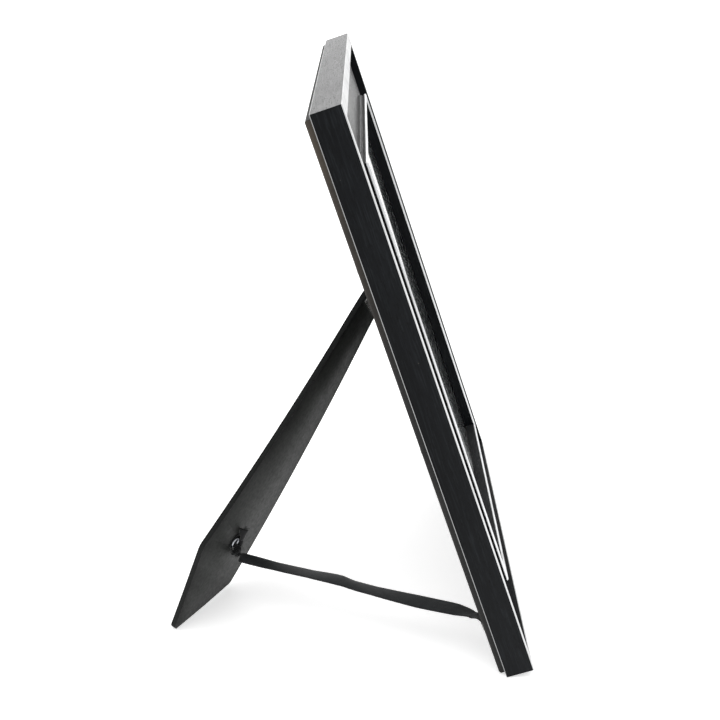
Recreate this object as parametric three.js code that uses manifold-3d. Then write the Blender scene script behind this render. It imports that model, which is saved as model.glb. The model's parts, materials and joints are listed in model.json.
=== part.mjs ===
// Tabletop picture frame for one 8 x 10 in print, standing upright on a swing-out easel strut.
// Millimetres. +Z is up, -Y is the side the picture faces, the bottom rear edge stands on Z = 0.
import * as THREE from "three";
import { mergeVertices } from "three/addons/utils/BufferGeometryUtils.js";
import Module from "manifold-3d";

const wasm = await Module();
wasm.setup();
const { Manifold, Mesh: ManifoldMesh } = wasm;

// ---- driving dimensions -------------------------------------------------
const WIDTH = 275; // outside width of the moulding
const HEIGHT = 325; // outside height of the moulding
const DEPTH = 15.3; // moulding, rear face to the front of the outer ridge
const LEAN = THREE.MathUtils.degToRad(18.62); // the frame leans back by this
const RIDGE = 7.25; // width of the outer ridge
const FLOOR = 10.3; // height of the recessed channel above the moulding's rear face
const RABBET_T = 32; // the rabbet starts this far in from the outer edge
const RABBET_W = 8.5; // and is this deep
const SLIP_T = 35.95; // outer wall of the raised inner slip
const SLIP_IN = 37.95; // sight edge
const SLIP_TOP = 14.5;
const BEAD_R = 0.85; // silver fillet bead on the slip
const GAP = 0.05; // between pieces that touch
const TRIM = 0.3; // thin strip behind the moulding
const SUB_T = 2.3; // rear sub-frame, inset from the moulding's outside
const SUB_IN = 33.8; // inner edge of the sub-frame
const SUB_Z = 3.2; // its thickness
const REAR_W = -(GAP + TRIM + GAP + SUB_Z); // rear surface of the sub-frame
const DOOR_GAP = 0.4; // round the easel back
const BUTTON_T = 29.2; // turn-button pivots, in from the outside
const EASEL_TILT = THREE.MathUtils.degToRad(39.88); // strut hinge line against the bottom rail
const OPEN = THREE.MathUtils.degToRad(45.56); // angle between the strut and the back
const HINGE_X = 20.76;
const HINGE_H = 189.87;
const PIN_W = -5.75; // hinge pin's axis, behind the moulding's rear face
const PIN_R = 0.8;
const STRUT_Z = 3; // strut board
const STRUT_TOP = 4; // the board starts this far from the pin
const STRUT_FACE = 1.18; // its frame-facing side, from the pin's axis
const BOW = 2.6; // the board is bowed towards the frame by this
const STRUT_LEN = 248; // pin to tip
const EYELET = [1.4, 184.3]; // along the hinge, and down the strut
const TACK = [-122, 26.5]; // ribbon tack on the sub-frame, across and up
const RIBBON_W = 10;
const RIBBON_Z = 0.6;

// ---- frames of reference ------------------------------------------------
const X = new THREE.Vector3(1, 0, 0);
const UP = new THREE.Vector3(0, Math.sin(LEAN), Math.cos(LEAN)); // up the moulding
const OUT = new THREE.Vector3(0, -Math.cos(LEAN), Math.sin(LEAN)); // out of its front
const at = (x, h, w) => new THREE.Vector3().addScaledVector(X, x).addScaledVector(UP, h).addScaledVector(OUT, w);
const panel = new THREE.Matrix4().makeBasis(X, UP, OUT); // (across, up, out)
const across = at(Math.cos(EASEL_TILT), -Math.sin(EASEL_TILT), 0); // along the pin
const down0 = at(-Math.sin(EASEL_TILT), -Math.cos(EASEL_TILT), 0); // strut folded flat
const down = down0.clone().multiplyScalar(Math.cos(OPEN)).addScaledVector(OUT, -Math.sin(OPEN));
const face = new THREE.Vector3().crossVectors(down, across).normalize(); // towards the frame
const pin = at(HINGE_X, HINGE_H, PIN_W);
const strut = new THREE.Matrix4().makeBasis(across, down, face.clone().negate()).setPosition(pin); // (along, down, away)
const leaf = new THREE.Matrix4().makeBasis(across, down0, OUT.clone().negate()).setPosition(pin); // the same, folded flat

// ---- solids -------------------------------------------------------------
function geometry(points, faces) {
  const g = new THREE.BufferGeometry();
  g.setAttribute("position", new THREE.Float32BufferAttribute(points.flat(), 3));
  g.setIndex(faces.flat());
  return outward(g);
}

function outward(g) {
  const p = g.attributes.position, i = g.index.array;
  const a = new THREE.Vector3(), b = new THREE.Vector3(), c = new THREE.Vector3();
  let v = 0;
  for (let k = 0; k < i.length; k += 3) {
    a.fromBufferAttribute(p, i[k]); b.fromBufferAttribute(p, i[k + 1]); c.fromBufferAttribute(p, i[k + 2]);
    v += a.dot(b.cross(c));
  }
  if (v < 0) for (let k = 0; k < i.length; k += 3) [i[k], i[k + 1]] = [i[k + 1], i[k]];
  return g;
}

// A prism between two copies of one outline, the second moved by the given function.
function prism(outline, near, far) {
  if (THREE.ShapeUtils.area(outline.map(([x, y]) => ({ x, y }))) < 0) outline = [...outline].reverse();
  const n = outline.length;
  const caps = THREE.ShapeUtils.triangulateShape(outline.map(([a, b]) => new THREE.Vector2(a, b)), []);
  const faces = [];
  for (const [a, b, c] of caps) faces.push([c, b, a], [a + n, b + n, c + n]);
  for (let k = 0; k < n; k++) {
    const m = (k + 1) % n;
    faces.push([k, m, m + n], [k, m + n, k + n]);
  }
  return geometry([...outline.map(near), ...outline.map(far)], faces);
}

function box(x0, x1, y0, y1, z0, z1) {
  return prism([[x0, y0], [x1, y0], [x1, y1], [x0, y1]], ([a, b]) => [a, b, z0], ([a, b]) => [a, b, z1]);
}

// A solid of revolution about the third axis, from [radius, height] pairs.
function turned(profile, n = 24) {
  const pts = [], faces = [], m = profile.length;
  for (let k = 0; k < n; k++) {
    const t = (2 * Math.PI * k) / n;
    for (const [r, z] of profile) pts.push([r * Math.cos(t), r * Math.sin(t), z]);
  }
  for (let k = 0; k < n; k++) for (let j = 0; j < m; j++) {
    const a = k * m + j, b = k * m + ((j + 1) % m), c = ((k + 1) % n) * m + j, d = ((k + 1) % n) * m + ((j + 1) % m);
    faces.push([a, c, d], [a, d, b]);
  }
  return geometry(pts, faces);
}

function cylinder(r, z0, z1, n = 24) {
  const ring = Array.from({ length: n }, (_, k) => [r * Math.cos((2 * Math.PI * k) / n), r * Math.sin((2 * Math.PI * k) / n)]);
  return prism(ring, ([a, b]) => [a, b, z0], ([a, b]) => [a, b, z1]);
}

const moved = (g, x = 0, y = 0, z = 0) => g.clone().translate(x, y, z);

function toManifold(g) {
  const bare = g.clone();
  bare.deleteAttribute("normal"); bare.deleteAttribute("uv");
  const m = mergeVertices(bare, 1e-5);
  return new Manifold(new ManifoldMesh({ numProp: 3, vertProperties: new Float32Array(m.attributes.position.array), triVerts: new Uint32Array(m.index.array) }));
}

function fromManifold(m) {
  const mesh = m.getMesh();
  const g = new THREE.BufferGeometry();
  g.setAttribute("position", new THREE.BufferAttribute(new Float32Array(mesh.vertProperties), 3));
  g.setIndex([...mesh.triVerts]);
  return g;
}

const cut = (g, ...tools) => fromManifold(tools.reduce((m, t) => m.subtract(toManifold(t)), toManifold(g)));
const join = (g, ...more) => fromManifold(more.reduce((m, t) => m.add(toManifold(t)), toManifold(g)));

const group = new THREE.Group();
group.name = "picture_frame";
const colours = { veneer: 0x242627, silver: 0xd8dadb, glass: 0xbfd0d4, board: 0x2c2b29, card: 0x8a7a62, print: 0x141414, steel: 0xa8abad, strut: 0x3a3b39, ribbon: 0x2b2e31 };
function add(name, g, frame, colour) {
  const geo = mergeVertices(g.clone().applyMatrix4(frame), 1e-5);
  const mesh = new THREE.Mesh(geo, new THREE.MeshStandardMaterial({ color: colours[colour], name: colour }));
  mesh.name = name;
  group.add(mesh);
  return mesh;
}

// ---- mitred rails -------------------------------------------------------
// An outline of [in from the outside, out from the rear] pairs goes round the four sides.
function rail(side, outline, gap = GAP) {
  const w = WIDTH / 2, h = HEIGHT;
  const ends = {
    bottom: [([t, o]) => [-(w - t - gap), t, o], ([t, o]) => [w - t - gap, t, o]],
    top: [([t, o]) => [-(w - t - gap), h - t, o], ([t, o]) => [w - t - gap, h - t, o]],
    near: [([t, o]) => [-(w - t), t + gap, o], ([t, o]) => [-(w - t), h - t - gap, o]],
    far: [([t, o]) => [w - t, t + gap, o], ([t, o]) => [w - t, h - t - gap, o]],
  }[side];
  return prism(outline, ...ends);
}

const SIDES = ["top", "bottom", "near", "far"];
const RIDGE_W = DEPTH - 0.4; // the silver facing turns 0.4 mm down over the outer edge
const FACING_Z = 0.2; // and is this thick on the ridge
const profiles = {
  moulding: ["veneer", [[0, 0], [0, RIDGE_W - GAP], [0.35, RIDGE_W - GAP], [0.35, DEPTH - FACING_Z - GAP], [RIDGE, DEPTH - FACING_Z - GAP], [RIDGE, FLOOR], [SLIP_T - GAP, FLOOR], [SLIP_T - GAP, RABBET_W], [RABBET_T, RABBET_W], [RABBET_T, 0]]],
  edge_trim: ["silver", [[0, RIDGE_W], [0, DEPTH - 0.15], [0.15, DEPTH], [5.38, DEPTH], [5.5, DEPTH - 0.12], [5.62, DEPTH], [RIDGE - 0.1, DEPTH], [RIDGE, DEPTH - 0.1], [RIDGE, DEPTH - FACING_Z], [0.3, DEPTH - FACING_Z], [0.3, RIDGE_W]]],
  slip: ["veneer", [[SLIP_T, RABBET_W], [SLIP_T, 11.7], [36.25, 12.3], [36.25, 12.75], [36.8, 12.75], [36.8, 13.9], [36.25, 13.9], [36.25, SLIP_TOP], [SLIP_IN, SLIP_TOP], [SLIP_IN, RABBET_W]]],
  fillet: ["silver", [[36.2, SLIP_TOP + GAP], [36.2, 14.85], [36.45, 15.4], [37.05, 14.85 + BEAD_R], [37.65, 15.4], [37.9, 14.85], [37.9, SLIP_TOP + GAP]]],
  rear_trim: ["silver", [[0, -GAP - TRIM], [0, -GAP], [6, -GAP], [6, -GAP - TRIM]]],
};
for (const [kind, [colour, outline]] of Object.entries(profiles))
  for (const side of SIDES) add(`${kind}_${side}`, rail(side, outline), panel, colour);

// ---- rear sub-frame with turn buttons -----------------------------------
const SUB = [[SUB_T, REAR_W + 0.8], [SUB_T, REAR_W + SUB_Z], [SUB_IN, REAR_W + SUB_Z], [SUB_IN, REAR_W], [SUB_T + 0.8, REAR_W]];
const W2 = WIDTH / 2;
const BUTTONS = {
  near_high: ["near", -W2 + BUTTON_T, 240, 0],
  near_mid: ["near", -W2 + BUTTON_T, 134, 0],
  far_high: ["far", W2 - BUTTON_T, 236, Math.PI],
  far_low: ["far", W2 - BUTTON_T, 96, Math.PI],
  top: ["top", -8, HEIGHT - BUTTON_T, -Math.PI / 2],
  bottom: ["bottom", 12, BUTTON_T, Math.PI / 2],
};
for (const side of SIDES) {
  let g = rail(side, SUB);
  for (const [s, x, h] of Object.values(BUTTONS)) if (s === side) g = cut(g, moved(cylinder(1.35, REAR_W - 1, REAR_W + 2.6), x, h));
  if (side === "near") g = cut(g, moved(cylinder(0.85, REAR_W - 1, REAR_W + 2.6), ...TACK));
  add(`sub_frame_${side}`, g, panel, "board");
}
const BUTTON_Z = 1.2;
for (const [name, [, x, h, turn]] of Object.entries(BUTTONS)) {
  // a rounded bar, pivoted near one end, whose long end lies over the easel back
  const bar = [];
  for (let k = 0; k <= 8; k++) { const a = Math.PI / 2 + (Math.PI * k) / 8; bar.push([4 * Math.cos(a), 4 * Math.sin(a)]); }
  for (let k = 0; k <= 8; k++) { const a = -Math.PI / 2 + (Math.PI * k) / 8; bar.push([12 + 3.2 * Math.cos(a), 3.2 * Math.sin(a)]); }
  const top = REAR_W - 0.1, low = top - BUTTON_Z;
  const plate = cut(prism(bar, ([a, b]) => [a, b, low], ([a, b]) => [a, b, top]), cylinder(1.55, low - 1, top + 1));
  add(`turn_button_${name}`, moved(plate.rotateZ(turn), x, h), panel, "steel");
  const screw = cut(
    join(cylinder(1.25, low - 0.4, REAR_W + 2.4), turnedHead(2.6, low)),
    box(-3, 3, -0.3, 0.3, low - 2.2, low - 1.2),
  );
  add(`button_screw_${name}`, moved(screw, x, h), panel, "steel");
}
function turnedHead(r, low) {
  const n = 24, rows = [[r, low - 0.1], [r, low - 0.8], [r * 0.8, low - 1.35], [r * 0.4, low - 1.65]];
  const pts = [], faces = [];
  for (const [q, z] of rows) for (let k = 0; k < n; k++) pts.push([q * Math.cos((2 * Math.PI * k) / n), q * Math.sin((2 * Math.PI * k) / n), z]);
  for (let j = 0; j < rows.length - 1; j++) for (let k = 0; k < n; k++) {
    const m = (k + 1) % n;
    faces.push([j * n + k, j * n + m, (j + 1) * n + m], [j * n + k, (j + 1) * n + m, (j + 1) * n + k]);
  }
  for (let k = 1; k < n - 1; k++) { faces.push([0, k + 1, k]); const o = (rows.length - 1) * n; faces.push([o, o + k, o + k + 1]); }
  return geometry(pts, faces);
}

// ---- what lies in the rabbet --------------------------------------------
const slab = (inset, w0, w1) => box(-(W2 - inset), W2 - inset, inset, HEIGHT - inset, w0, w1);
add("glass", slab(RABBET_T + 0.5, 6.4, RABBET_W - 0.1), panel, "glass");
add("print", slab(RABBET_T + 0.8, 5.95, 6.3), panel, "print");
add("filler_board", slab(RABBET_T + 0.8, 3.0, 5.85), panel, "card");
add("spacer_board", slab(RABBET_T + 1.6, REAR_W + SUB_Z + 0.15, 2.9), panel, "card");

// ---- easel back with its hinge ------------------------------------------
const inLeaf = (u, s) => [HINGE_X + u * Math.cos(EASEL_TILT) - s * Math.sin(EASEL_TILT), HINGE_H - u * Math.sin(EASEL_TILT) - s * Math.cos(EASEL_TILT)];
const RIVETS = [[-9.5, -11], [9.5, -11]];
let back = slab(SUB_IN + DOOR_GAP, REAR_W, REAR_W + SUB_Z - 0.1);
for (const [u, s] of RIVETS) back = cut(back, moved(cylinder(1.5, REAR_W - 1, REAR_W + 2.5), ...inLeaf(u, s)));
add("easel_back", back, panel, "board");

const skin = PIN_W - REAR_W; // how far the pin's axis stands behind the back's surface, negative
const L1 = skin + 0.05, L2 = L1 + 0.8; // the fixed leaf's sides, measured away from the pin
function knuckle(u0, u1) {
  const n = 24, out = [], pts = [], faces = [];
  for (let k = 0; k < n; k++) out.push([Math.cos((2 * Math.PI * k) / n), Math.sin((2 * Math.PI * k) / n)]);
  for (const u of [u0, u1]) for (const r of [1.7, 0.98]) for (const [c, s] of out) pts.push([u, r * c, r * s]);
  for (let k = 0; k < n; k++) {
    const m = (k + 1) % n, A = 0, B = n, C = 2 * n, D = 3 * n;
    faces.push([A + k, A + m, C + m], [A + k, C + m, C + k], [B + k, D + m, B + m], [B + k, D + k, D + m]);
    faces.push([A + k, B + m, A + m], [A + k, B + k, B + m], [C + k, C + m, D + m], [C + k, D + m, D + k]);
  }
  return geometry(pts, faces);
}
const bore = prism(Array.from({ length: 24 }, (_, k) => [0.98 * Math.cos((Math.PI * k) / 12), 0.98 * Math.sin((Math.PI * k) / 12)]), ([a, b]) => [-20, a, b], ([a, b]) => [20, a, b]);
// the fixed leaf lies on the back, above the pin, and has the middle knuckle
let fixed = join(box(-14, 14, -18, -2.6, L1, L2), box(-6.6, 6.6, -3, 0, L1, L2), knuckle(-6.6, 6.6));
fixed = cut(fixed, bore);
for (const [u, s] of RIVETS) fixed = cut(fixed, moved(cylinder(1.5, L1 - 1, L2 + 1), u, s));
add("hinge_leaf_back", fixed, leaf, "steel");
for (const [k, [u, s]] of RIVETS.entries()) {
  const g = join(cylinder(1.3, L1 - 2.3, L2 + 0.5), cylinder(2.7, L2 + 0.1, L2 + 0.8));
  add(`hinge_rivet_back_${k + 1}`, moved(g, u, s), leaf, "steel");
}
add("hinge_pin", prism(Array.from({ length: 20 }, (_, k) => [PIN_R * Math.cos((Math.PI * k) / 10), PIN_R * Math.sin((Math.PI * k) / 10)]), ([a, b]) => [-14.6, a, b], ([a, b]) => [14.6, a, b]), leaf, "steel");

// ---- strut --------------------------------------------------------------
// Its own frame: along the pin, down the strut, away from the frame. Convex outline, bowed.
const corners = [[-15.2, STRUT_TOP], [-39.2, 193.8], [-7.3, 243.8], [-3.2, 244.9], [35.1, 209.4], [15.4, STRUT_TOP]];
function rounded(points, radii) {
  return points.flatMap((p, k) => {
    const a = points[(k + points.length - 1) % points.length], b = points[(k + 1) % points.length], r = radii[k];
    const da = Math.hypot(a[0] - p[0], a[1] - p[1]), db = Math.hypot(b[0] - p[0], b[1] - p[1]);
    const A = [p[0] + ((a[0] - p[0]) * r) / da, p[1] + ((a[1] - p[1]) * r) / da], B = [p[0] + ((b[0] - p[0]) * r) / db, p[1] + ((b[1] - p[1]) * r) / db];
    return [0, 0.33, 0.67, 1].map((t) => [0, 1].map((i) => (1 - t) * (1 - t) * A[i] + 2 * t * (1 - t) * p[i] + t * t * B[i]));
  });
}
const outline = rounded(corners, [3, 2.5, 1.4, 1.4, 2, 3]);
function span(s) {
  const hits = [];
  for (let k = 0; k < outline.length; k++) {
    const [u0, s0] = outline[k], [u1, s1] = outline[(k + 1) % outline.length];
    if (s0 !== s1 && (s - s0) * (s - s1) <= 0) hits.push(u0 + ((u1 - u0) * (s - s0)) / (s1 - s0));
  }
  return [Math.min(...hits), Math.max(...hits)];
}
const FLAT = 24; // the board is straight under the hinge leaf
const bowAt = (s) => (s <= FLAT ? 0 : BOW * 4 * ((s - FLAT) / (STRUT_LEN - FLAT)) * Math.max(0, 1 - (s - FLAT) / (STRUT_LEN - FLAT)));
const levels = [...new Set([...outline.map(([, s]) => +s.toFixed(4)), ...Array.from({ length: 15 }, (_, k) => STRUT_TOP + 4 + k * 15)])].sort((a, b) => a - b);
function board() {
  const pts = [], faces = [];
  const s_lo = levels[0] + 1e-3, s_hi = levels[levels.length - 1] - 1e-3;
  for (const level of levels) {
    const s = Math.min(Math.max(level, s_lo), s_hi), [a, b] = span(s), o = -STRUT_FACE - bowAt(s);
    pts.push([a, s, o], [b, s, o], [b, s, o + STRUT_Z], [a, s, o + STRUT_Z]);
  }
  const n = levels.length;
  for (let k = 0; k < n - 1; k++) for (let j = 0; j < 4; j++) {
    const i = 4 * k, m = (j + 1) % 4;
    faces.push([i + j, i + m, i + 4 + m], [i + j, i + 4 + m, i + 4 + j]);
  }
  faces.push([0, 2, 1], [0, 3, 2]);
  const e = 4 * (n - 1);
  faces.push([e, e + 1, e + 2], [e, e + 2, e + 3]);
  return geometry(pts, faces);
}
const STRUT_RIVETS = [[-8.5, 13], [8.5, 13]];
let strutBoard = board();
for (const [u, s] of STRUT_RIVETS) strutBoard = cut(strutBoard, moved(cylinder(1.5, -8, 8), u, s));
strutBoard = cut(strutBoard, moved(cylinder(2.8, -8, 8), ...EYELET));
// the foot facet is bevelled to sit flat on the table
const floorBox = new THREE.BoxGeometry(400, 400, 40).translate(0, 200, -20 - (GAP + TRIM) * Math.sin(LEAN)).toNonIndexed();
const worldBoard = cut(strutBoard.clone().applyMatrix4(strut), mergeVertices(floorBox, 1e-5));
add("strut", worldBoard, new THREE.Matrix4(), "strut");

const face0 = -STRUT_FACE; // the leaf lies on the side towards the frame
let moving = join(box(-14, 14, 2.6, 21, face0 - 0.75, face0 - 0.05), box(-14, -6.9, 0, 3, -1.9, -1.2), box(6.9, 14, 0, 3, -1.9, -1.2), knuckle(-14, -6.9), knuckle(6.9, 14));
moving = cut(moving, bore);
for (const [u, s] of STRUT_RIVETS) moving = cut(moving, moved(cylinder(1.5, -8, 8), u, s));
add("hinge_leaf_strut", moving, strut, "steel");
for (const [k, [u, s]] of STRUT_RIVETS.entries()) {
  const f = face0 - 0.75, r = face0 - bowAt(s) + STRUT_Z;
  const g = join(cylinder(1.3, f - 0.3, r + 0.5), cylinder(2.7, f - 0.65, f - 0.1), cylinder(2.4, r + 0.15, r + 0.8));
  add(`hinge_rivet_strut_${k + 1}`, moved(g, u, s), strut, "steel");
}

// ---- eyelet, ribbon and tack --------------------------------------------
const eye = -STRUT_FACE - bowAt(EYELET[1]);
const lean = Math.atan((bowAt(EYELET[1] + 1) - bowAt(EYELET[1] - 1)) / 2);
const ring = turned([[2.4, -0.55], [2.55, -0.8], [2.85, -0.88], [3.15, -0.75], [3.4, -0.42], [3.4, -0.12], [2.65, -0.12], [2.65, STRUT_Z + 0.12], [3.6, STRUT_Z + 0.12], [3.6, STRUT_Z + 0.45], [3, STRUT_Z + 0.8], [2.4, STRUT_Z + 0.6]], 40);
add("eyelet", moved(ring.rotateX(-lean), EYELET[0], EYELET[1], eye), strut, "steel");

const tackTop = REAR_W - 0.1;
add("ribbon_tack", moved(join(cylinder(0.7, tackTop - 1.4, REAR_W + 2.2, 16), cylinder(3, tackTop - 1.5, tackTop - 0.95, 24)), ...TACK), panel, "steel");

// the ribbon's middle line, across, up and out of the frame, with its turn about that line in
// degrees: flat on the sub-frame under the tack, slack and turned on edge, flat again at the eyelet
const RIBBON = [
  [-122, 22, -4.28, 0], [-122, 26.5, -4.28, 0], [-122, 29.8, -4.38, 0], [-121.7, 31.6, -5.7, 0], [-120, 33.1, -8.6, 2],
  [-117.7, 35.2, -11.9, 6], [-115.6, 37, -16.2, 16], [-111.7, 39.6, -25.2, 36], [-106.7, 42.8, -36.9, 40], [-102.6, 45.9, -46.5, 34],
  [-96.9, 50.2, -60, 26], [-92.1, 54.1, -71.5, 20], [-90.5, 56.3, -74.9, 12], [-89.1, 58.5, -78.2, 4], [-82, 64.9, -95, 0],
  [-74, 71.8, -115, 0], [-66, 79.8, -135.3, 0],
];
function band() {
  const pts = [], faces = [];
  const line = new THREE.CatmullRomCurve3(RIBBON.map(([x, h, w]) => at(x, h, w)), false, "centripetal");
  const m = RIBBON.length - 1, n = 3 * m;
  for (let k = 0; k <= n; k++) {
    const t = k / n, j = Math.min(Math.floor(t * m), m - 1), f = t * m - j;
    const turn = THREE.MathUtils.degToRad(RIBBON[j][3] * (1 - f) + RIBBON[j + 1][3] * f);
    const c = line.getPoint(t), dir = line.getTangent(t);
    const flat = X.clone().addScaledVector(dir, -X.dot(dir)).normalize();
    const thick = new THREE.Vector3().crossVectors(flat, dir).normalize();
    const wide = flat.clone().applyAxisAngle(dir, -turn);
    thick.applyAxisAngle(dir, -turn);
    for (const [a, b] of [[-1, -1], [1, -1], [1, 1], [-1, 1]]) {
      const p = c.clone().addScaledVector(wide, (a * RIBBON_W) / 2).addScaledVector(thick, (b * RIBBON_Z) / 2);
      pts.push([p.x, p.y, p.z]);
    }
  }
  for (let k = 0; k < n; k++) for (let j = 0; j < 4; j++) {
    const i = 4 * k, m = (j + 1) % 4;
    faces.push([i + j, i + m, i + 4 + m], [i + j, i + 4 + m, i + 4 + j]);
  }
  const e = 4 * n;
  faces.push([0, 2, 1], [0, 3, 2], [e, e + 1, e + 2], [e, e + 2, e + 3]);
  return geometry(pts, faces);
}
add("ribbon", cut(band(), moved(cylinder(0.8, REAR_W - 3, REAR_W), ...TACK).applyMatrix4(panel)), new THREE.Matrix4(), "ribbon");

// ---- the origin is the middle of the footprint, on the table ------------
const bounds = new THREE.Box3().setFromObject(group);
const shift = new THREE.Vector3(-(bounds.min.x + bounds.max.x) / 2, -(bounds.min.y + bounds.max.y) / 2, -bounds.min.z);
for (const m of group.children) m.geometry.translate(shift.x, shift.y, shift.z);

export default group;
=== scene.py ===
# Tabletop picture frame: a black veneered moulding with silver trims, leaning back on a
# diagonal strut that a black ribbon holds open.
import json
import math
import random

import bpy
from mathutils import Matrix, Vector


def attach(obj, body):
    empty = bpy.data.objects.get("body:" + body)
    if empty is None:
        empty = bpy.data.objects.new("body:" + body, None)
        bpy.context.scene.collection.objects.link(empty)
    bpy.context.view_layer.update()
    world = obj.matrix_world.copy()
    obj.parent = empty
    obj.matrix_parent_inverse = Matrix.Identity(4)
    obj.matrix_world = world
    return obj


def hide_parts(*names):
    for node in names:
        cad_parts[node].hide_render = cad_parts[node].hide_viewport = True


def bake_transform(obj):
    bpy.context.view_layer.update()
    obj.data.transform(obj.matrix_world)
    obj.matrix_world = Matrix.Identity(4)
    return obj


MM = 0.001
LEAN = math.radians(18.62)  # the frame leans back by this
WIDTH, HEIGHT = 275 * MM, 325 * MM
REAR = -3.6 * MM  # rear surface of the sub-frame, behind the moulding's rear face
PIN_UP, PIN_ACROSS, PIN_OUT = 189.87, 20.76, -5.75  # hinge pin on the moulding, in millimetres
RIBBON_WIDE, RIBBON_THICK = 10 * MM, 0.32 * MM
BOARD_THICK, BOARD_OFF = 3.0, 1.18  # strut board, and its front face's distance from the pin
BOARD_FLAT, BOARD_LONG, BOARD_BOW = 24, 248, 2.6  # flat part by the hinge, length, bow

scene = bpy.context.scene

# ---- camera --------------------------------------------------------------
view = bpy.data.objects.new("camera", bpy.data.cameras.new("camera"))
view.data.lens, view.data.sensor_width, view.data.clip_start = 56.4, 36.0, 0.01
view.location = (-0.6447, -0.00755, 0.40004)
view.rotation_euler = (math.radians(67.47), 0, math.radians(-90))
scene.collection.objects.link(view)
scene.camera = view

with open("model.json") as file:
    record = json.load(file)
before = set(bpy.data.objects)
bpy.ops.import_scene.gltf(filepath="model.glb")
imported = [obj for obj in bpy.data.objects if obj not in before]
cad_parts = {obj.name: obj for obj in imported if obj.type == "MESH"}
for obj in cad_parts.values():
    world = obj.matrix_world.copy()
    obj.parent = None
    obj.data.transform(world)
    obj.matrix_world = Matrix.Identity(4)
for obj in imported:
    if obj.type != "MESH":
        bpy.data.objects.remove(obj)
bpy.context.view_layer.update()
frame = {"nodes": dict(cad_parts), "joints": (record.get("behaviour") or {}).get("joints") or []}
nodes = frame["nodes"]

# ---- where things are ----------------------------------------------------
UP = Vector((0, math.sin(LEAN), math.cos(LEAN)))  # up the moulding
OUT = Vector((0, -math.cos(LEAN), math.sin(LEAN)))  # out of its front
hinge = next(j for j in frame["joints"] if j["name"] == "strut_hinge")
PIN = Vector(hinge["pos_m"])
# middle of the moulding's bottom rear edge
CORNER = PIN - (Vector((PIN_ACROSS, 0, 0)) + UP * PIN_UP + OUT * PIN_OUT) * MM


def on_panel(x, h, w):
    """A point across, up and out of the moulding, in metres."""
    return CORNER + Vector((x, 0, 0)) + UP * h + OUT * w


ACROSS = Vector(hinge["axis"]).normalized()  # along the pin
DOWN = Vector((-0.448931, 0.505058, -0.737141))  # down the strut
FACING = DOWN.cross(ACROSS).normalized()  # out of the strut, towards the frame
EYE = Vector((-62.413, 67.337, 40.527)) * MM  # middle of the eyelet on the strut's frame side


def on_strut(u, s, n):
    """A point by the eyelet: along the pin, down the strut and off its face, in millimetres."""
    return EYE + (ACROSS * u + DOWN * s + FACING * n) * MM


# ---- finishes ------------------------------------------------------------
class Finish:
    """One finish, put together from texture nodes round a Principled surface."""

    def __init__(self, name, **surface):
        self.material = bpy.data.materials.new(name)
        self.material.use_nodes = True
        self.tree = self.material.node_tree
        self.surface = self.tree.nodes["Principled BSDF"]
        for socket, value in surface.items():
            self.surface.inputs[socket.replace("_", " ")].default_value = value

    def add(self, kind, *values, named=None, **settings):
        node = self.tree.nodes.new("ShaderNode" + kind)
        for key, value in settings.items():
            setattr(node, key, value)
        for socket, value in list(enumerate(values)) + list((named or {}).items()):
            if value is None:
                continue
            if isinstance(value, bpy.types.NodeSocket):
                self.tree.links.new(value, node.inputs[socket])
            else:
                node.inputs[socket].default_value = value
        return node

    def place(self):
        return self.add("TexCoord").outputs["Object"]

    def turned(self, vector, rotation=(0, 0, 0), scale=(1, 1, 1)):
        return self.add("Mapping", vector, None, rotation, scale).outputs[0]

    def noise(self, vector, size, detail=3.0, rough=0.55, warp=0.0):
        """Cloudy pattern whose patches are about this many millimetres across."""
        named = {"Scale": 1 / (size * MM), "Detail": detail, "Roughness": rough, "Distortion": warp}
        return self.add("TexNoise", vector, named=named).outputs[0]

    def sum(self, operation, a, b=0.0, c=0.0):
        return self.add("Math", a, b, c, operation=operation).outputs[0]

    def between(self, value, low, high, to_low=0.0, to_high=1.0):
        return self.add("MapRange", value, low, high, to_low, to_high).outputs[0]

    def blend(self, amount, first, second):
        mix = self.add("Mix", data_type="RGBA")
        for socket, value in ((0, amount), (6, first), (7, second)):
            if isinstance(value, bpy.types.NodeSocket):
                self.tree.links.new(value, mix.inputs[socket])
            else:
                mix.inputs[socket].default_value = value if socket == 0 else (*value, 1)
        return mix.outputs[2]

    def relief(self, height, depth, strength=1.0, over=None):
        node = self.add("Bump", named={"Height": height, "Distance": depth * MM, "Strength": strength})
        if over is not None:
            self.tree.links.new(over, node.inputs["Normal"])
        return node.outputs[0]

    def dress(self, **sockets):
        for name, value in sockets.items():
            self.tree.links.new(value, self.surface.inputs[name.replace("_", " ")])
        return self.material

    def axes(self, origin, first, second, third):
        """The place along three directions of a tilted piece."""
        offset = self.add("VectorMath", self.place(), tuple(origin), operation="SUBTRACT").outputs[0]
        along = [
            self.add("VectorMath", offset, tuple(way), operation="DOT_PRODUCT").outputs["Value"]
            for way in (first, second, third)
        ]
        return self.add("CombineXYZ", *along).outputs[0]


def shaded(amount, colour):
    """A colour made lighter or darker by this much."""
    return tuple(amount * part for part in colour)


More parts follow.
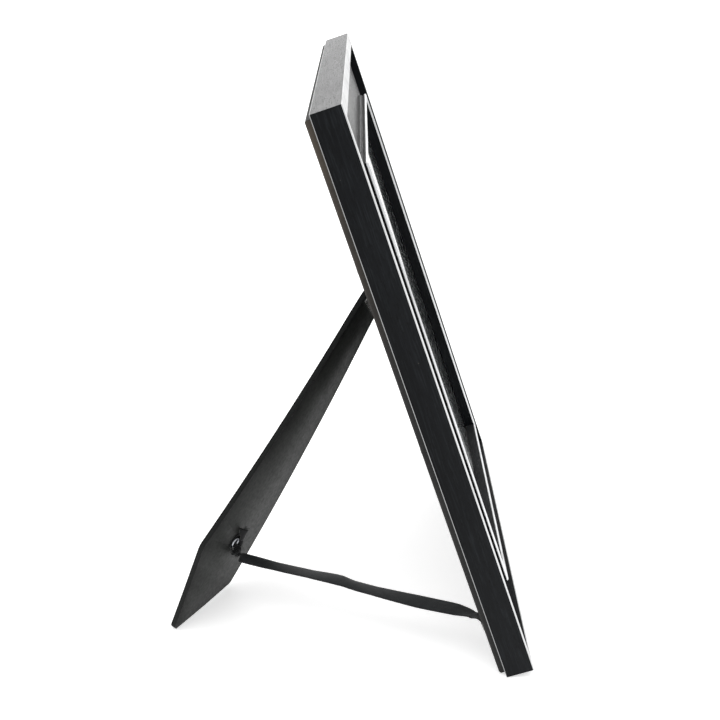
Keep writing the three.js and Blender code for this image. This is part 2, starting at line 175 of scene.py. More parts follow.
def open_grain_veneer(name, stretch):
    """Black-stained open-pored veneer; the grain is drawn out along one axis of the panel. Its lighter streaks
    are grain and painted sheen.
    """
    f = Finish(name, Specular_IOR_Level=0.09, Sheen_Weight=0.35, Sheen_Roughness=0.35)
    flat = f.turned(f.place(), rotation=(LEAN, 0, 0))
    long_grain = f.turned(flat, scale=tuple(0.045 if s else 1.0 for s in stretch))
    pore_grain = f.turned(flat, scale=tuple(0.11 if s else 1.0 for s in stretch))
    broad = f.noise(long_grain, 9, 3, 0.5, 0.4)
    grain_and_sheen_streak = f.noise(long_grain, 0.85, 5, 0.65, 0.2)
    pore = f.between(f.noise(pore_grain, 0.42, 2, 0.5), 0.56, 0.68)
    worn = f.between(f.noise(flat, 26, 4, 0.6), 0.45, 0.75)
    tone = f.blend(f.between(broad, 0.35, 0.68), (0.0013, 0.0018, 0.0026), (0.0040, 0.0048, 0.0060))
    # painted sheen: the grain streaks are lifted to a light grey, standing in for glints along the grain
    tone = f.blend(f.sum("MULTIPLY", f.between(grain_and_sheen_streak, 0.5, 0.72), 0.55), tone, (0.018, 0.021, 0.024))
    tone = f.blend(f.sum("MULTIPLY", pore, 0.85), tone, (0.0015, 0.0017, 0.002))
    speck = f.add("TexVoronoi", flat, named={"Scale": 95.0, "Randomness": 1.0})
    dot = f.between(speck.outputs["Distance"], 0.035, 0.02)
    rare = f.sum("GREATER_THAN", f.add("SeparateColor", speck.outputs["Color"]).outputs[0], 0.86)
    tone = f.blend(f.sum("MULTIPLY", f.sum("MULTIPLY", dot, rare), 0.5), tone, (0.10, 0.09, 0.075))
    gloss = f.sum("ADD", f.between(grain_and_sheen_streak, 0.3, 0.7, 0.30, 0.42), f.sum("MULTIPLY", worn, 0.05))
    gloss = f.sum("ADD", gloss, f.sum("MULTIPLY", pore, 0.22))
    height = f.sum("SUBTRACT", f.sum("MULTIPLY", grain_and_sheen_streak, 0.35), pore)
    return f.dress(Base_Color=tone, Roughness=gloss, Normal=f.relief(height, 0.06, 0.8))


def silver_foil(name, stretch, shade=1.0):
    """Satin silver foil pressed on wood: very fine drawn lines, a few dull patches."""
    f = Finish(name, Metallic=0.92, Specular_IOR_Level=0.5)
    flat = f.turned(f.place(), rotation=(LEAN, 0, 0))
    drawn = f.noise(f.turned(flat, scale=tuple(0.03 if s else 1.0 for s in stretch)), 0.22, 3, 0.6)
    dull = f.between(f.noise(flat, 14, 4, 0.62), 0.48, 0.7)
    pit = f.between(f.noise(flat, 0.5, 2, 0.5), 0.70, 0.78)
    tone = f.blend(drawn, shaded(shade, (0.66, 0.67, 0.68)), shaded(shade, (0.84, 0.85, 0.855)))
    tone = f.blend(f.sum("MULTIPLY", dull, 0.35), tone, shaded(shade, (0.58, 0.575, 0.56)))
    tone = f.blend(f.sum("MULTIPLY", pit, 0.4), tone, shaded(shade, (0.38, 0.37, 0.36)))
    gloss = f.sum("ADD", f.between(drawn, 0.3, 0.7, 0.26, 0.36), f.sum("MULTIPLY", dull, 0.12))
    return f.dress(Base_Color=tone, Roughness=gloss, Normal=f.relief(drawn, 0.012, 0.7))


def pressed_board(name, dark, light, rough=0.78, top_light_colour=None):
    """Fibreboard: short fibres lying every way, flecks and a soft unevenness; given a top colour, painted
    light over its top part.
    """
    f = Finish(name, Specular_IOR_Level=0.3)
    at = f.place()
    ways = ((0, 0, 0.5), (0.7, 0.3, 2.0), (1.4, 1.2, 0.2))
    fibres = [f.noise(f.turned(at, rotation=way, scale=(1, 0.13, 1)), 0.4, 3, 0.6) for way in ways]
    felt = f.sum("MAXIMUM", fibres[0], f.sum("MAXIMUM", fibres[1], fibres[2]))
    cloud = f.noise(at, 18, 4, 0.6)
    tone = f.blend(f.between(cloud, 0.3, 0.7), dark, light)
    tone = f.blend(f.between(felt, 0.58, 0.76, 0.0, 0.5), tone, shaded(1.7, light))
    if top_light_colour:
        height = f.add("SeparateXYZ", f.turned(at, rotation=(LEAN, 0, 0))).outputs[2]
        # painted highlight: lighter and browner over the top part of the board, by height, where its rounded
        # corner catches light
        lit = f.sum("MULTIPLY", f.between(height, 0.16, 0.30), f.between(cloud, 0.2, 0.6, 0.4, 1.0))
        tone = f.blend(lit, tone, top_light_colour)
    gloss = f.between(felt, 0.4, 0.75, rough, rough - 0.14)
    return f.dress(Base_Color=tone, Roughness=gloss, Normal=f.relief(felt, 0.07, 0.7))


def strut_facing():
    """Smooth dark paper on board: faint mottling and scuffs, with darker raw fibre on the cut edges, painted
    shade round the foot and near-black painted shade along the arrises.
    """
    f = Finish("strut facing paper", Specular_IOR_Level=0.17)
    at = f.axes(PIN, ACROSS, DOWN, FACING)
    cloud = f.noise(at, 24, 4, 0.62, 0.3)
    mottle = f.noise(at, 2.2, 4, 0.6)
    rub = f.noise(f.turned(at, rotation=(0, 0, 0.12), scale=(1, 0.04, 1)), 1.1, 4, 0.6)
    tone = f.blend(f.between(cloud, 0.32, 0.7), (0.0095, 0.0108, 0.0096), (0.0145, 0.016, 0.0145))
    tone = f.blend(f.between(mottle, 0.5, 0.72, 0.0, 0.45), tone, (0.007, 0.0078, 0.007))
    tone = f.blend(f.between(rub, 0.62, 0.78, 0.0, 0.35), tone, (0.026, 0.028, 0.026))
    # painted shade: darker round the foot, where the floor shadows the board
    foot_shade = f.add("VectorMath", at, (26 * MM, 205 * MM, 0), operation="DISTANCE").outputs["Value"]
    tone = f.blend(f.between(foot_shade, 26 * MM, 4 * MM, 0.0, 0.6), tone, (0.006, 0.0065, 0.006))
    normal = f.add("NewGeometry").outputs["Normal"]
    turned = f.add("VectorMath", normal, tuple(FACING), operation="DOT_PRODUCT").outputs["Value"]
    lean_in = f.sum("ABSOLUTE", turned)
    edge = f.between(lean_in, 0.3, 0.15)
    # painted shade: near-black on the bevel between face and edge, for the shade along the arrises
    arris_shade = f.sum("MULTIPLY", f.between(lean_in, 0.1, 0.3), f.between(lean_in, 0.985, 0.95))
    grain = f.noise(f.turned(at, scale=(0.25, 0.25, 1)), 0.35, 3, 0.6)
    tone = f.blend(edge, tone, f.blend(grain, (0.006, 0.007, 0.007), (0.015, 0.016, 0.015)))
    tone = f.blend(arris_shade, tone, (0.002, 0.002, 0.002))
    gloss = f.sum("ADD", f.between(mottle, 0.3, 0.7, 0.46, 0.60), f.sum("MULTIPLY", edge, 0.25))
    sawn = f.sum("MULTIPLY", f.sum("MULTIPLY", grain, edge), 2.0)
    height = f.sum("ADD", f.sum("MULTIPLY", mottle, 0.6), sawn)
    return f.dress(Base_Color=tone, Roughness=gloss, Normal=f.relief(height, 0.035, 0.6))


def plated_steel(name, bright, dull):
    """Nickel plate with hairline scratches and dull spots."""
    f = Finish(name, Metallic=1.0)
    at = f.place()
    scratch = f.sum(
        "MAXIMUM",
        f.noise(f.turned(at, rotation=(0.3, 0.2, 0.9), scale=(1, 0.03, 1)), 0.12, 2, 0.5),
        f.noise(f.turned(at, rotation=(1.1, 0.7, 2.3), scale=(1, 0.03, 1)), 0.12, 2, 0.5),
    )
    spot = f.between(f.noise(at, 2.4, 4, 0.6), 0.5, 0.72)
    tone = f.blend(spot, bright, dull)
    gloss = f.sum("ADD", f.between(scratch, 0.55, 0.8, 0.22, 0.42), f.sum("MULTIPLY", spot, 0.15))
    return f.dress(Base_Color=tone, Roughness=gloss, Normal=f.relief(scratch, 0.01, 0.6))


def woven_ribbon(name, tone_scale=1.0, along="UVMap"):
    """Plain-woven black ribbon: weft ribs over fine warp, denser edges, a soft sheen."""
    f = Finish(name, Specular_IOR_Level=0.2, Sheen_Weight=0.16, Sheen_Roughness=0.5)
    weave = f.add("UVMap", uv_map=along).outputs[0]
    across, run = (f.add("SeparateXYZ", weave).outputs[k] for k in (0, 1))
    warp = f.sum("SINE", f.sum("MULTIPLY", across, 2 * math.pi / 0.36))
    weft = f.sum("SINE", f.sum("MULTIPLY", run, 2 * math.pi / 0.5))
    offset = f.sum("MULTIPLY", warp, weft)
    thread = f.sum("ADD", f.sum("MULTIPLY", offset, 0.5), f.sum("MULTIPLY", weft, 0.5))
    level = f.between(thread, -1, 1)
    slub = f.noise(f.turned(f.place(), scale=(1, 0.3, 1)), 1.6, 4, 0.6)
    edge = f.between(f.sum("ABSOLUTE", across), 4.35, 4.6)
    tone = f.blend(level, shaded(tone_scale, (0.010, 0.0115, 0.0135)), shaded(tone_scale, (0.034, 0.037, 0.040)))
    tone = f.blend(f.between(slub, 0.45, 0.72, 0.0, 0.4), tone, shaded(tone_scale, (0.046, 0.050, 0.053)))
    tone = f.blend(f.sum("MULTIPLY", edge, 0.5), tone, shaded(tone_scale, (0.012, 0.013, 0.015)))
    gloss = f.between(level, 0, 1, 0.72, 0.52)
    return f.dress(Base_Color=tone, Roughness=gloss, Normal=f.relief(level, 0.05, 0.8))


def clear_glass():
    """Flat picture glass, with faint wiping marks."""
    f = Finish("picture glass", Transmission_Weight=1.0, IOR=1.5, Specular_IOR_Level=0.45)
    at = f.turned(f.place(), rotation=(LEAN, 0, 0.3), scale=(1, 1, 0.25))
    wipe = f.noise(at, 22, 5, 0.65, 0.8)
    tone = f.blend(wipe, (0.93, 0.97, 0.955), (0.97, 0.99, 0.985))
    return f.dress(Base_Color=tone, Roughness=f.between(wipe, 0.45, 0.75, 0.012, 0.07))


def black_print():
    """A plain black sheet with a matt coating and a faint tooth."""
    f = Finish("black print sheet", Specular_IOR_Level=0.25)
    at = f.place()
    tooth, cloud = f.noise(at, 0.5, 3, 0.6), f.noise(at, 40, 3, 0.5)
    tone = f.blend(cloud, (0.010, 0.0105, 0.011), (0.017, 0.0175, 0.018))
    gloss = f.between(tooth, 0.3, 0.7, 0.55, 0.68)
    return f.dress(Base_Color=tone, Roughness=gloss, Normal=f.relief(tooth, 0.02, 0.5))


def both_ways(make, name, *painted_shades):
    """A finish drawn out up the moulding, and the same along it, each with its own painted shade: a lighter or
    darker copy standing in for how the light falls.
    """
    upright, level = painted_shades or ((), ())
    return {
        "tall": make(f"{name}, upright", (0, 0, 1), *upright),
        "long": make(f"{name}, level", (1, 0, 0), *level),
    }


veneer = both_ways(open_grain_veneer, "black open-grain veneer")
# painted light: the same silver foil, darker on the level rails (0.62) than up the sides (0.74), for how the
# light falls on each
silver = both_ways(silver_foil, "silver foil", (0.74,), (0.62,))
# painted highlight: a brighter copy of the same foil for the fillets
silver_painted_brighter = both_ways(silver_foil, "bright silver foil", (0.95,), (0.86,))
# the rear strip is the same silver foil at half the tone
half_tone_silver = both_ways(silver_foil, "dull silver strip", (0.5,), (0.5,))
BOARD_TONES = (0.009, 0.009, 0.0088), (0.017, 0.0165, 0.016)
black_board = pressed_board("black fibreboard", *BOARD_TONES)
# painted highlight at the top of the near side of the sub-frame
lit_top_board = pressed_board("black fibreboard, rubbed at the top", *BOARD_TONES, top_light_colour=(0.060, 0.048, 0.036))
card = pressed_board("grey-brown card", (0.21, 0.17, 0.12), (0.33, 0.27, 0.19), 0.85)
nickel = plated_steel("nickel plate", (0.60, 0.60, 0.59), (0.40, 0.40, 0.39))
eyelet_steel = plated_steel("eyelet steel", (0.62, 0.64, 0.68), (0.42, 0.43, 0.47))
facing = strut_facing()
ribbon_cloth = woven_ribbon("black woven ribbon", 0.66)
# painted shade: the knotted, looped and loose bits of ribbon are the same ribbon at a third of its tone
shaded_knot_cloth = woven_ribbon("black woven ribbon, painted shade for knots", 0.22)
glass, print_sheet = clear_glass(), black_print()
# painted shade: near-black lines laid along the strut's arrises
edge_shade_paint = pressed_board("black painted edge shade", (0.0012, 0.0012, 0.0012), (0.003, 0.003, 0.003), 0.7)


def finish_for(name):
    run = "tall" if name.endswith(("_near", "_far")) else "long"
    if name.startswith(("moulding", "slip")):
        return veneer[run]
    if name.startswith("rear_trim"):
        return half_tone_silver[run]
    if name.startswith("fillet"):
        return silver_painted_brighter[run]
    if name.startswith("edge_trim"):
        return silver[run]
    if name == "sub_frame_near":
        return lit_top_board
    if name.startswith("sub_frame") or name == "easel_back":
        return black_board
    if name in ("filler_board", "spacer_board"):
        return card
    return {"glass": glass, "print": print_sheet, "strut": facing, "eyelet": eyelet_steel}.get(name, nickel)


def ease_edges(piece, width, smooth):
    """Takes the sharpness off a sawn or pressed piece's edges; flat boards keep flat faces."""
    weld = piece.modifiers.new("weld", "WELD")
    weld.merge_threshold = 0.000004
    bevel = piece.modifiers.new("eased edges", "BEVEL")
    bevel.width, bevel.segments = width * MM, 2
    bevel.limit_method, bevel.angle_limit = "ANGLE", math.radians(28)
    bevel.harden_normals = smooth
    for face in piece.data.polygons:
        face.use_smooth = smooth
    bevel.use_clamp_overlap = True


EASE = {
    "moulding": 0.3, "slip": 0.12, "sub_frame": 0.25, "easel_back": 0.3, "strut": 0.25,
    "filler": 0.1, "spacer": 0.15, "glass": 0.1, "hinge_leaf": 0.12, "turn_button": 0.25,
}
FLAT_FACED = ("easel_back", "sub_frame", "moulding", "slip")
for name, piece in nodes.items():
    piece.data.materials.clear()
    piece.data.materials.append(finish_for(name))
    width = next((w for start, w in EASE.items() if name.startswith(start)), None)
    if width:
        ease_edges(piece, width, not name.startswith(FLAT_FACED))


# ---- making pieces -------------------------------------------------------
def new_piece(name, vertices, faces, finish, body=None, uv=None):
    mesh = bpy.data.meshes.new(name)
    mesh.from_pydata([tuple(v) for v in vertices], [], faces)
    if uv:
        layer = mesh.uv_layers.new(name="UVMap")
        for loop in mesh.loops:
            layer.data[loop.index].uv = uv[loop.vertex_index]
    mesh.validate()
    for face in mesh.polygons:
        face.use_smooth = True
    piece = bpy.data.objects.new(name, mesh)
    scene.collection.objects.link(piece)
    mesh.materials.append(finish)
    if body:
        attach(piece, body)
    return piece


def smooth_line(points, steps):
    """Points on a smooth curve through these points, with this many steps between each two."""
    pts = [Vector(p) for p in points]
    pts = [pts[0] * 2 - pts[1]] + pts + [pts[-1] * 2 - pts[-2]]
    line = []
    for a, b, c, d in zip(pts, pts[1:], pts[2:], pts[3:]):
        t1, t2, t3 = (max((q - p).length, 1e-9) ** 0.5 for p, q in ((a, b), (b, c), (c, d)))
        m1 = (c - b) + ((b - a) / t1 - (c - a) / (t1 + t2)) * t2
        m2 = (c - b) + ((d - c) / t3 - (d - b) / (t2 + t3)) * t2
        for k in range(steps):
            t = k / steps
            ends = b * (2 * t**3 - 3 * t**2 + 1) + c * (3 * t**2 - 2 * t**3)
            line.append(ends + m1 * (t**3 - 2 * t**2 + t) + m2 * (t**3 - t**2))
    return line + [pts[-2]]


def lerp_list(values, place):
    k = min(int(place), len(values) - 2)
    return values[k] + (values[k + 1] - values[k]) * (place - k)


def flat_band(line, wides, turns, thick, curls, flat_way, columns=10):
    """A thin woven band along a line: its width, turn and cross curl change along the way."""
    count, run = len(line), 0.0
    vertices, faces, uv = [], [], []
    for i, centre in enumerate(line):
        ahead = (line[min(i + 1, count - 1)] - line[max(i - 1, 0)]).normalized()
        flat = (flat_way - ahead * flat_way.dot(ahead)).normalized()
        lift = flat.cross(ahead).normalized()
        place = i / (count - 1)
        turn = Matrix.Rotation(-lerp_list(turns, place * (len(turns) - 1)), 3, ahead)
        wide, high = turn @ flat, turn @ lift
        half = lerp_list(wides, place * (len(wides) - 1)) / 2
        curl = lerp_list(curls, place * (len(curls) - 1))
        if i:
            run += (centre - line[i - 1]).length
        for side in (1, -1):
            for k in range(columns + 1):
                a = 2 * k / columns - 1
                arch = curl * (1 - a * a) + side * thick / 2 * (1 - 0.35 * a**6)
                vertices.append(centre + wide * (a * half) + high * arch)
                uv.append((a * half / MM, run / MM))
    ring = 2 * (columns + 1)
    order = list(range(columns + 1)) + list(range(ring - 1, columns, -1))
    for i in range(count - 1):
        for k in range(ring):
            a, b = order[k], order[(k + 1) % ring]
            faces.append((i * ring + a, i * ring + b, (i + 1) * ring + b, (i + 1) * ring + a))
    for i, flip in ((0, False), (count - 1, True)):
        for k in range(columns):
            a, b = i * ring + k, i * ring + columns + 1 + k
            quad = (a, a + 1, b + 1, b)
            faces.append(quad[::-1] if not flip else quad)
    return vertices, faces, uv, run


def outward(mesh):
    """Turns every face of a closed piece outwards."""
    import bmesh

    work = bmesh.new()
    work.from_mesh(mesh)
    bmesh.ops.recalc_face_normals(work, faces=work.faces)
    work.to_mesh(mesh)
    work.free()


# ---- ribbon --------------------------------------------------------------
# Each row is a place on its middle line across, up and out of the moulding, its turn in
# degrees, its curl across in millimetres and its share of the full width. It lies flat on the
# sub-frame under the tack, tips over the edge, has a crease half way and narrows to the knot.
RIBBON = [
    (-122, 22, -4.14, 0, 0, 1),
    (-122, 26.5, -4.14, 0, 0, 1),
    (-122, 30, -4.4, -5, 0, 1),
    (-121.5, 32.5, -6, -15, 0.1, 1),
    (-120, 33.5, -8.5, -15, 0.2, 1),
    (-117.5, 34.8, -12, -4, 0.3, 1),
    (-115.5, 36.5, -16.5, 5, 0.4, 1),
    (-107, 42.7, -36.5, 8, 0.3, 1),
    (-97, 51, -60, -3, 0.3, 1),
    (-92, 55.6, -71.5, -3, 0.7, 1),
    (-89, 59, -78.2, 2, 0.6, 1),
    (-82, 64.5, -95, -6, 0.25, 0.98),
    (-74, 71.5, -115, 0, 0.3, 0.84),
    (-66.2, 79.3, -134.6, 30, 0.8, 0.6),
]
RIBBON_STEPS, RIBBON_COLUMNS = 8, 12
route = smooth_line([on_panel(x * MM, h * MM, w * MM) for x, h, w, *_ in RIBBON], RIBBON_STEPS)
vertices, faces, uv, ribbon_run = flat_band(
    route,
    [RIBBON_WIDE * share for *_, share in RIBBON],
    [math.radians(row[3]) for row in RIBBON],
    RIBBON_THICK,
    [row[4] * MM for row in RIBBON],
    Vector((1, 0, 0)),
    RIBBON_COLUMNS,
)
ribbon = new_piece("ribbon_band", vertices, faces, ribbon_cloth, uv=uv)
outward(ribbon.data)
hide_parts("ribbon")
print("ribbon run", round(ribbon_run, 5))


def rope_of_cloth(name, path, radii, squash, finish, body, pleats=5, seed=3):
    """Bunched ribbon: a soft strand with pleats, along a path; radii change along the way."""
    rng = random.Random(seed)
    phase = rng.random() * 6
    count, ring = len(path), 20
    vertices, faces, uv, run = [], [], [], 0.0
    side = Vector((0.31, 0.52, 0.79)).normalized()
    for i, centre in enumerate(path):
        ahead = (path[min(i + 1, count - 1)] - path[max(i - 1, 0)]).normalized()
        side = (side - ahead * side.dot(ahead)).normalized()
        other = ahead.cross(side)
        r = lerp_list(radii, i / (count - 1) * (len(radii) - 1))
        if i:
            run += (centre - path[i - 1]).length
        for k in range(ring):
            a = 2 * math.pi * k / ring
            pleat = math.sin(pleats * a + phase + 0.5 * math.sin(run / MM))
            fold = 1 + 0.13 * pleat + 0.05 * math.sin(2 * a + run / MM * 1.7)
            vertices.append(centre + (side * math.cos(a) + other * math.sin(a) * squash) * (r * fold))
            uv.append((5 * math.sin(a), run / MM))
    for i in range(count - 1):
        for k in range(ring):
            m = (k + 1) % ring
            faces.append((i * ring + k, i * ring + m, (i + 1) * ring + m, (i + 1) * ring + k))
    faces.append(tuple(range(ring))[::-1])
    faces.append(tuple((count - 1) * ring + k for k in range(ring)))
    piece = new_piece(name, vertices, faces, finish, body, uv)
    outward(piece.data)
    return piece


def tied(middle, size, lead_in, lead_out, steps=60):
    """The path of a small overhand knot between the two strands that come to it."""
    loop = []
    for k in range(steps + 1):
        t = 0.35 + (2 * math.pi - 0.7) * k / steps
        x, y, z = math.sin(t) + 2 * math.sin(2 * t), math.cos(t) - 2 * math.cos(2 * t), -1.15 * math.sin(3 * t)
        loop.append(Vector((middle[0] + size * x, middle[1] + size * y, middle[2] + size * z)))
    return [Vector(p) for p in lead_in] + loop[::4] + [Vector(p) for p in lead_out]


def by_eyelet(points, steps=5):
    return smooth_line([on_strut(*p) for p in points], steps)


OUT_OF_EYELET = [(0.3, 0.2, -3.4), (0.9, 0.4, -0.8), (1.9, 1.4, 0.5)]
TO_BAND = [(2.6, 4.8, 4.6), (2.5, 5.6, 6.2)]
knot = rope_of_cloth(
    "ribbon_knot",
    by_eyelet(tied((3.4, 4.6, 2.9), 0.9, OUT_OF_EYELET, TO_BAND)),
    [0.9 * MM, 1.25 * MM, 1.35 * MM, 1.3 * MM, 1.35 * MM, 1.5 * MM],
    0.74,
    shaded_knot_cloth,
    "strut",
)
LOOP = [
    (3.0, 4.0, 2.2), (4.9, 2.0, 1.4), (5.3, -0.8, 1.4), (3.6, -4.0, 1.2), (0.1, -5.5, 0.8), (-3.1, -4.9, 0.4),
    (-5.2, -1.4, 0.2), (-5.0, 2.2, 0.2), (-2.9, 5.0, 0.5), (0.4, 5.6, 1.6), (2.6, 4.4, 3.0),
]
LOOP_RADII = [k * MM for k in (1.3, 1.4, 1.45, 1.3, 0.9, 0.6, 0.5, 0.5, 0.65, 0.95, 1.2)]
loop_line = by_eyelet(LOOP, 6)
loop = rope_of_cloth("ribbon_loop", loop_line, LOOP_RADII, 0.8, shaded_knot_cloth, "strut", pleats=4, seed=5)
INTO_STOP, STOP_END = [(0.1, 0.1, -2.6), (0.2, 0.2, -4.2)], [(-1.6, 1.6, -6.4), (-2.6, 3.4, -5.6)]
stop_knot = rope_of_cloth(
    "ribbon_stop_knot",
    by_eyelet(tied((0.2, 0.2, -6.1), 0.66, INTO_STOP, STOP_END)),
    [1.0 * MM, 1.1 * MM, 1.1 * MM, 0.8 * MM],
    0.75,
    shaded_knot_cloth,
    "strut",
    seed=8,
)
TAIL = [(2.8, -3.4, 1.9), (0.8, -4.9, 2.4), (-1.4, -6.3, 2.5), (-3.4, -7.8, 2.5), (-5.2, -9.6, 2.6)]
tail_line = by_eyelet(TAIL, 7)
vertices, faces, uv, _ = flat_band(
    tail_line,
    [k * MM for k in (2.4, 2.8, 3.6, 4.6, 5.4)],
    [0.3, 0.25, 0.1, 0, 0],
    0.8 * MM,
    [k * MM for k in (0.7, 0.9, 0.9, 0.8, 0.5)],
    FACING * 0.87 - DOWN * 0.5,
)
tail = new_piece("ribbon_tail", vertices, faces, shaded_knot_cloth, "strut", uv)
outward(tail.data)


# ---- what repeats: pin heads, staples, loose threads ----------------------
def bare_tree(name, inputs):
    """A Geometry Nodes tree with a geometry input and named sizes."""
    tree = bpy.data.node_groups.new(name, "GeometryNodeTree")
    tree.interface.new_socket("Geometry", in_out="INPUT", socket_type="NodeSocketGeometry")
    for label, value in inputs.items():
        tree.interface.new_socket(label, in_out="INPUT", socket_type="NodeSocketFloat").default_value = value
    tree.interface.new_socket("Geometry", in_out="OUTPUT", socket_type="NodeSocketGeometry")
    return tree, tree.nodes.new("NodeGroupInput"), tree.nodes.new("NodeGroupOutput")


def end_tree(tree, geometry, finish, group_out):
    realize = tree.nodes.new("GeometryNodeRealizeInstances")
    paint = tree.nodes.new("GeometryNodeSetMaterial")
    paint.inputs["Material"].default_value = finish
    tree.links.new(geometry, realize.inputs[0])
    tree.links.new(realize.outputs[0], paint.inputs[0])
    tree.links.new(paint.outputs[0], group_out.inputs[0])


def heads_tree(finish):
    """A low domed head on every point, turned to face along the point's 'facing' direction."""
    tree, start, end = bare_tree("domed heads", {"Head radius": 0.9 * MM, "Head height": 0.45 * MM})
    ball = tree.nodes.new("GeometryNodeMeshUVSphere")
    for socket, value in (("Segments", 16), ("Rings", 8), ("Radius", 1.0)):
        ball.inputs[socket].default_value = value
    size = tree.nodes.new("ShaderNodeCombineXYZ")
    facing_way = tree.nodes.new("GeometryNodeInputNamedAttribute")
    facing_way.data_type = "FLOAT_VECTOR"
    facing_way.inputs["Name"].default_value = "facing"
    turn = tree.nodes.new("FunctionNodeAlignRotationToVector")
    put = tree.nodes.new("GeometryNodeInstanceOnPoints")
    for a, b in (
        (start.outputs["Geometry"], put.inputs["Points"]),
        (ball.outputs["Mesh"], put.inputs["Instance"]),
        (facing_way.outputs["Attribute"], turn.inputs["Vector"]),
        (turn.outputs[0], put.inputs["Rotation"]),
        (start.outputs["Head radius"], size.inputs[0]),
        (start.outputs["Head radius"], size.inputs[1]),
        (start.outputs["Head height"], size.inputs[2]),
        (size.outputs[0], put.inputs["Scale"]),
    ):
        tree.links.new(a, b)
    end_tree(tree, put.outputs[0], finish, end)
    return tree


def wires_tree(finish):
    """Every edge line becomes a round wire or thread."""
    tree, start, end = bare_tree("wires", {"Wire radius": 0.1 * MM})
    line = tree.nodes.new("GeometryNodeMeshToCurve")
    circle = tree.nodes.new("GeometryNodeCurvePrimitiveCircle")
    circle.inputs["Resolution"].default_value = 6
    sweep = tree.nodes.new("GeometryNodeCurveToMesh")
    sweep.inputs["Fill Caps"].default_value = True
    for a, b in (
        (start.outputs["Geometry"], line.inputs[0]),
        (line.outputs[0], sweep.inputs["Curve"]),
        (start.outputs["Wire radius"], circle.inputs["Radius"]),
        (circle.outputs[0], sweep.inputs["Profile Curve"]),
    ):
        tree.links.new(a, b)
    end_tree(tree, sweep.outputs[0], finish, end)
    return tree


def grow(name, points, edges, tree, sizes, finish, body=None, facing_way=None):
    """Runs a tree on plain points or lines and keeps the result as an ordinary piece."""
    seed_mesh = bpy.data.meshes.new(name)
    seed_mesh.from_pydata([tuple(p) for p in points], edges, [])
    if facing_way is not None:
        attribute = seed_mesh.attributes.new("facing", "FLOAT_VECTOR", "POINT")
        for item, way in zip(attribute.data, facing_way):
            item.vector = way
    piece = bpy.data.objects.new(name, seed_mesh)
    scene.collection.objects.link(piece)
    work = piece.modifiers.new("grow", "NODES")
    work.node_group = tree
    for item in tree.interface.items_tree:
        if item.item_type == "SOCKET" and item.in_out == "INPUT" and item.name in sizes:
            work[item.identifier] = sizes[item.name]
    bpy.context.view_layer.update()
    made = bpy.data.meshes.new_from_object(piece.evaluated_get(bpy.context.evaluated_depsgraph_get()))
    piece.modifiers.clear()
    piece.data = made
    made.materials.clear()
    made.materials.append(finish)
    for face in made.polygons:
        face.use_smooth = True
    if body:
        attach(piece, body)
    return piece


heads, threads, wires = heads_tree(nickel), wires_tree(shaded_knot_cloth), wires_tree(nickel)

# pins that hold the sub-frame to the moulding
PIN_INSET, PIN_FOOT = 9 * MM, 22 * MM
PIN_HEAD = {"Head radius": 0.95 * MM, "Head height": 0.3 * MM}
pin_spots = []
for k in range(6):
    for x in (-WIDTH / 2 + PIN_INSET, WIDTH / 2 - PIN_INSET):
        pin_spots.append(on_panel(x, PIN_FOOT + k * (HEIGHT - 2 * PIN_FOOT) / 5, REAR))
for k in range(1, 5):
    for h in (PIN_INSET, HEIGHT - PIN_INSET):
        pin_spots.append(on_panel(-WIDTH / 2 + PIN_INSET + k * (WIDTH - 2 * PIN_INSET) / 5, h, REAR))
grow(
    "sub_frame_pins", pin_spots, [], heads, PIN_HEAD, nickel, "frame",
    [-OUT] * len(pin_spots),
)

# two staples over each mitre of the sub-frame
STAPLE_HALF = 4.5 * MM
low, top = REAR + 0.5 * MM, REAR - 0.32 * MM
bend = top + 0.1 * MM
STAPLE = ((-1, low), (-1, bend), (-0.95, top), (0.95, top), (1, bend), (1, low))
points, edges = [], []
for sx in (-1, 1):
    for sh in (0, 1):
        for inset in (12, 24):
            x, h = sx * (WIDTH / 2 - inset * MM), (HEIGHT - inset * MM if sh else inset * MM)
            way = Vector((sx * (-1 if sh else 1), 1)).normalized() * STAPLE_HALF
            base = len(points)
            for f, w in STAPLE:
                points.append(on_panel(x + way[0] * f, h + way[1] * f, w))
            edges += [(base + k, base + k + 1) for k in range(5)]
STAPLE_WIRE = {"Wire radius": 0.38 * MM}
grow("mitre_staples", points, edges, wires, STAPLE_WIRE, nickel, "frame")

# dark lines along the strut board's arrises, front and back: painted shade at its edges
STRUT_CORNERS = [(-15.2, 4), (-39.2, 193.8), (-7.3, 243.8), (-3.2, 244.9), (35.1, 209.4), (15.4, 4)]
STRUT_ROUND = (3, 2.5, 1.4, 1.4, 2, 3)


def strut_outline():
    """The board's outline along the pin and down the strut, with its rounded corners."""
    outline = []
    for k, r in enumerate(STRUT_ROUND):
        p, before, after = (Vector(STRUT_CORNERS[(k + j) % 6]) for j in (0, -1, 1))
        a, b = p + (before - p).normalized() * r, p + (after - p).normalized() * r
        outline += [a * (1 - t) ** 2 + p * 2 * t * (1 - t) + b * t * t for t in (0, 0.33, 0.67, 1)]
    fine = []
    for p, q in zip(outline, outline[1:] + outline[:1]):
        count = max(1, int((q - p).length / 12))
        fine += [p + (q - p) * k / count for k in range(count)]
    return fine


def bowed(s):
    """How far the board is bowed towards the frame at this distance from the pin."""
    t = (s - BOARD_FLAT) / (BOARD_LONG - BOARD_FLAT)
    return 0 if s <= BOARD_FLAT else BOARD_BOW * 4 * t * max(0, 1 - t)


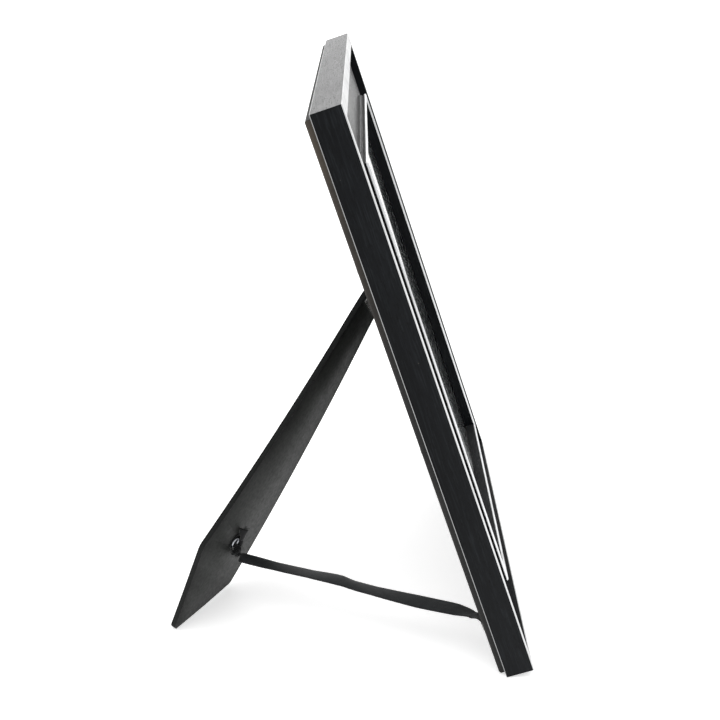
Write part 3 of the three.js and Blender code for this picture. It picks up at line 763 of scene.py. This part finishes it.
BOARD_MIDDLE = Vector((0, 120))
SHADE_LINE_RADIUS, SHADE_LINE_DEEP = 0.24 * MM, 0.12
points, edges = [], []
for depth in (-SHADE_LINE_DEEP, SHADE_LINE_DEEP - BOARD_THICK):
    line = []
    for p in strut_outline():
        inner = p + (BOARD_MIDDLE - p).normalized() * 0.14
        off = BOARD_OFF + bowed(inner[1]) + depth
        spot = PIN + (ACROSS * inner[0] + DOWN * inner[1] + FACING * off) * MM
        line.append(Vector((spot[0], spot[1], max(spot[2], SHADE_LINE_RADIUS + 0.02 * MM))))
    base = len(points)
    points += line
    edges += [(base + k, base + (k + 1) % len(line)) for k in range(len(line))]
edge_shade_wires = wires_tree(edge_shade_paint)
grow("strut_painted_edge_shade", points, edges, edge_shade_wires, {"Wire radius": SHADE_LINE_RADIUS}, edge_shade_paint, "strut")

# threads that stray from the ribbon's cut end
rng = random.Random(11)
points, edges = [], []
tip = Vector(TAIL[-1])
for k in range(16):
    start = tip + Vector((rng.uniform(-1.3, 1.3), rng.uniform(-0.3, 1.2), rng.uniform(-0.3, 1.6)))
    way = Vector((-0.35 + rng.uniform(-0.45, 0.45), -1 + rng.uniform(-0.2, 0.3), rng.uniform(-0.2, 0.5)))
    bend = Vector((rng.uniform(-0.5, 0.5), rng.uniform(-0.2, 0.2), rng.uniform(-0.2, 0.4)))
    reach, base = rng.uniform(1.0, 3.1), len(points)
    for j in range(6):
        t = j / 5
        q = start + way * (reach * t) + bend * (reach * t * t)
        points.append(on_strut(q[0], q[1], max(q[2], 0.15)))
    edges += [(base + j, base + j + 1) for j in range(5)]
THREAD = {"Wire radius": 0.09 * MM}
frays = grow("ribbon_frays", points, edges, threads, THREAD, shaded_knot_cloth, "strut")

# the ribbon's bound edges: one short stitch lying over the edge about every 0.6 mm
STITCH_APART, STITCH = 0.6 * MM, {"Head radius": 0.2 * MM, "Head height": 0.34 * MM}
points, ways = [], []
row = RIBBON_COLUMNS + 1
corners = ribbon.data.vertices
for i in range(len(route) - 1):
    for k in (0, RIBBON_COLUMNS):
        top, low = corners[2 * i * row + k].co, corners[(2 * i + 1) * row + k].co
        onward = corners[2 * (i + 1) * row + k].co - top
        count = max(1, round(onward.length / STITCH_APART))
        for j in range(count):
            points.append((top + low) / 2 + onward * j / count)
            ways.append(onward.normalized())
edging = grow("ribbon_bound_edges", points, [], heads, STITCH, ribbon_cloth, None, ways)

for piece in (ribbon, edging):
    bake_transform(piece)

# ---- studio --------------------------------------------------------------
world = bpy.data.worlds.new("studio")
scene.world = world
world.use_nodes = True
world.node_tree.nodes["Background"].inputs[0].default_value = (1, 1, 1, 1)
world.node_tree.nodes["Background"].inputs[1].default_value = 0.78

floor_mesh = bpy.data.meshes.new("studio_floor")
floor_mesh.from_pydata([(-15, -15, 0), (15, -15, 0), (15, 15, 0), (-15, 15, 0)], [], [(0, 1, 2, 3)])
floor = bpy.data.objects.new("studio_floor", floor_mesh)
scene.collection.objects.link(floor)
paper = Finish("studio paper", Specular_IOR_Level=0.1, Emission_Color=(1, 1, 1, 1), Emission_Strength=0.52)
paper_tone = paper.blend(paper.noise(paper.place(), 300, 3, 0.5), (0.93, 0.93, 0.93), (0.95, 0.95, 0.95))
floor_mesh.materials.append(paper.dress(Base_Color=paper_tone))


def softbox(name, place, aim, size, power):
    """A large soft lamp, aimed at a point."""
    lamp = bpy.data.lights.new(name, "AREA")
    lamp.shape, lamp.size, lamp.size_y, lamp.energy = "RECTANGLE", size[0], size[1], power
    holder = bpy.data.objects.new(name, lamp)
    holder.location = place
    holder.rotation_euler = (Vector(aim) - Vector(place)).to_track_quat("-Z", "Y").to_euler()
    scene.collection.objects.link(holder)


softbox("overhead", (-0.35, 0.1, 1.5), (-0.15, 0, 0.05), (1.4, 1.6), 11)
softbox("far side", (2.9, 0.35, 1.25), (0, 0, 0.2), (3.2, 2.4), 28)

scene.view_settings.view_transform = "Standard"
scene.view_settings.look = "None"

bpy.context.view_layer.update()
